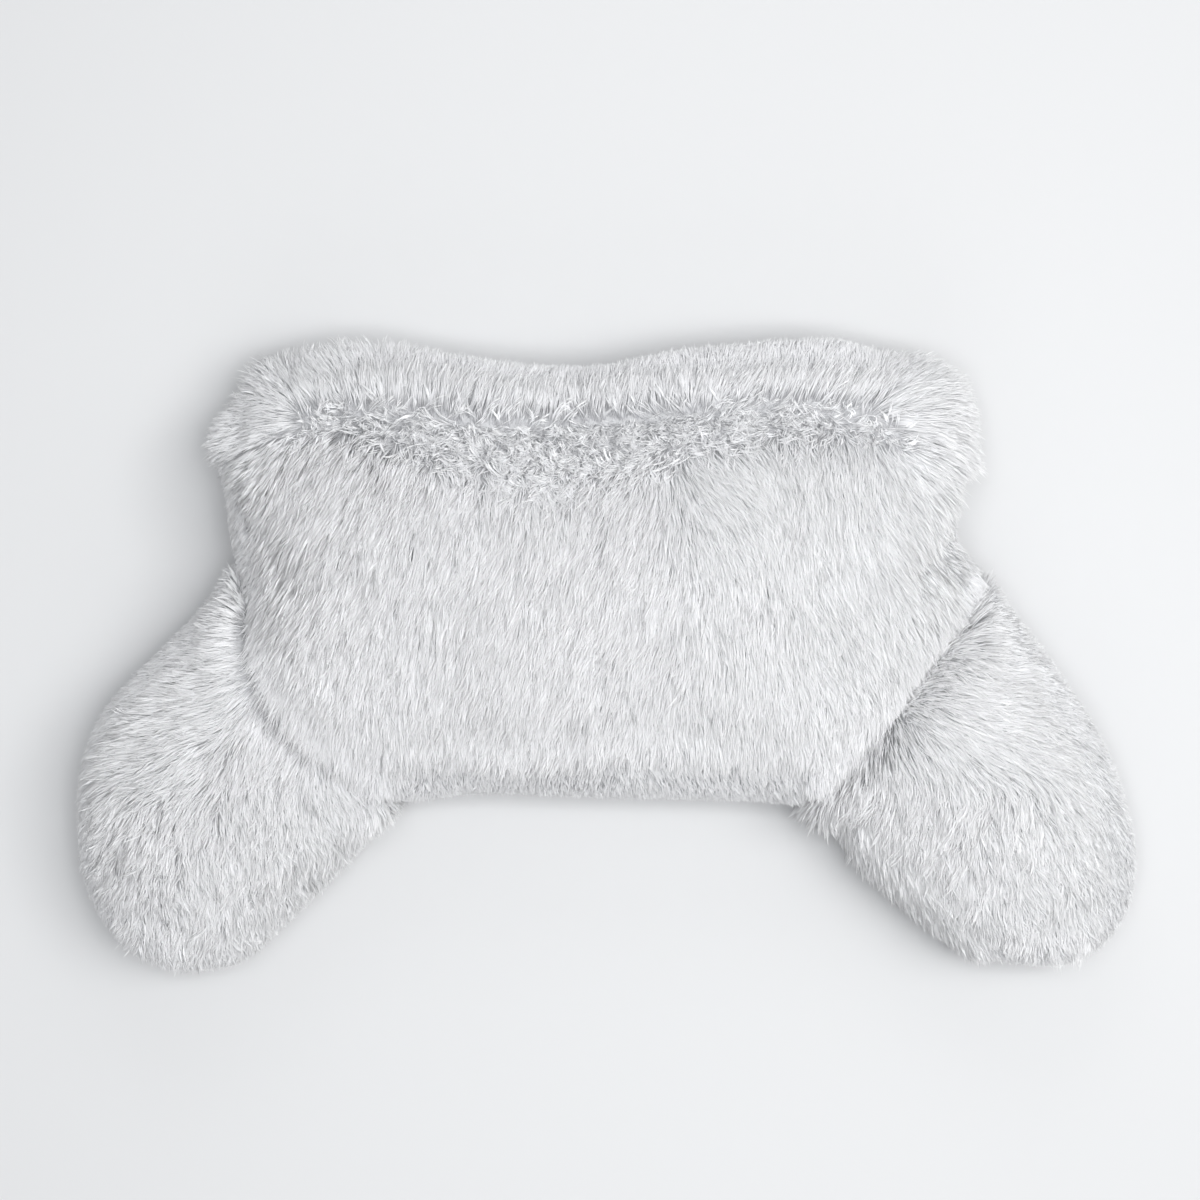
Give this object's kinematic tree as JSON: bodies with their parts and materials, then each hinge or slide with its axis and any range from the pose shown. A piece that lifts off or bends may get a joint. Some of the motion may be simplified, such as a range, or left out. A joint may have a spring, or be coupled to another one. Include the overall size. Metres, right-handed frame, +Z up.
{
  "type": "cuddle cushion",
  "caption": "Shaggy long-pile cuddle cushion: a wide stuffed backrest with a short stuffed arm sewn to each side, lying on its back.",
  "frame": {"origin": "middle of the footprint, on the surface the cushion lies on", "axes": "+X across the cushion from its left arm to its right arm as seen from above, +Y towards its top edge, +Z up out of its front"},
  "size_m": [0.8942, 0.5348, 0.1897],
  "materials": {
    "pile": "long shaggy pile, white with a cool cast, matt"
  },
  "bodies": {
    "root": {"backrest": "pile", "arm_left": "pile", "arm_right": "pile"}
  },
  "joints": []
}
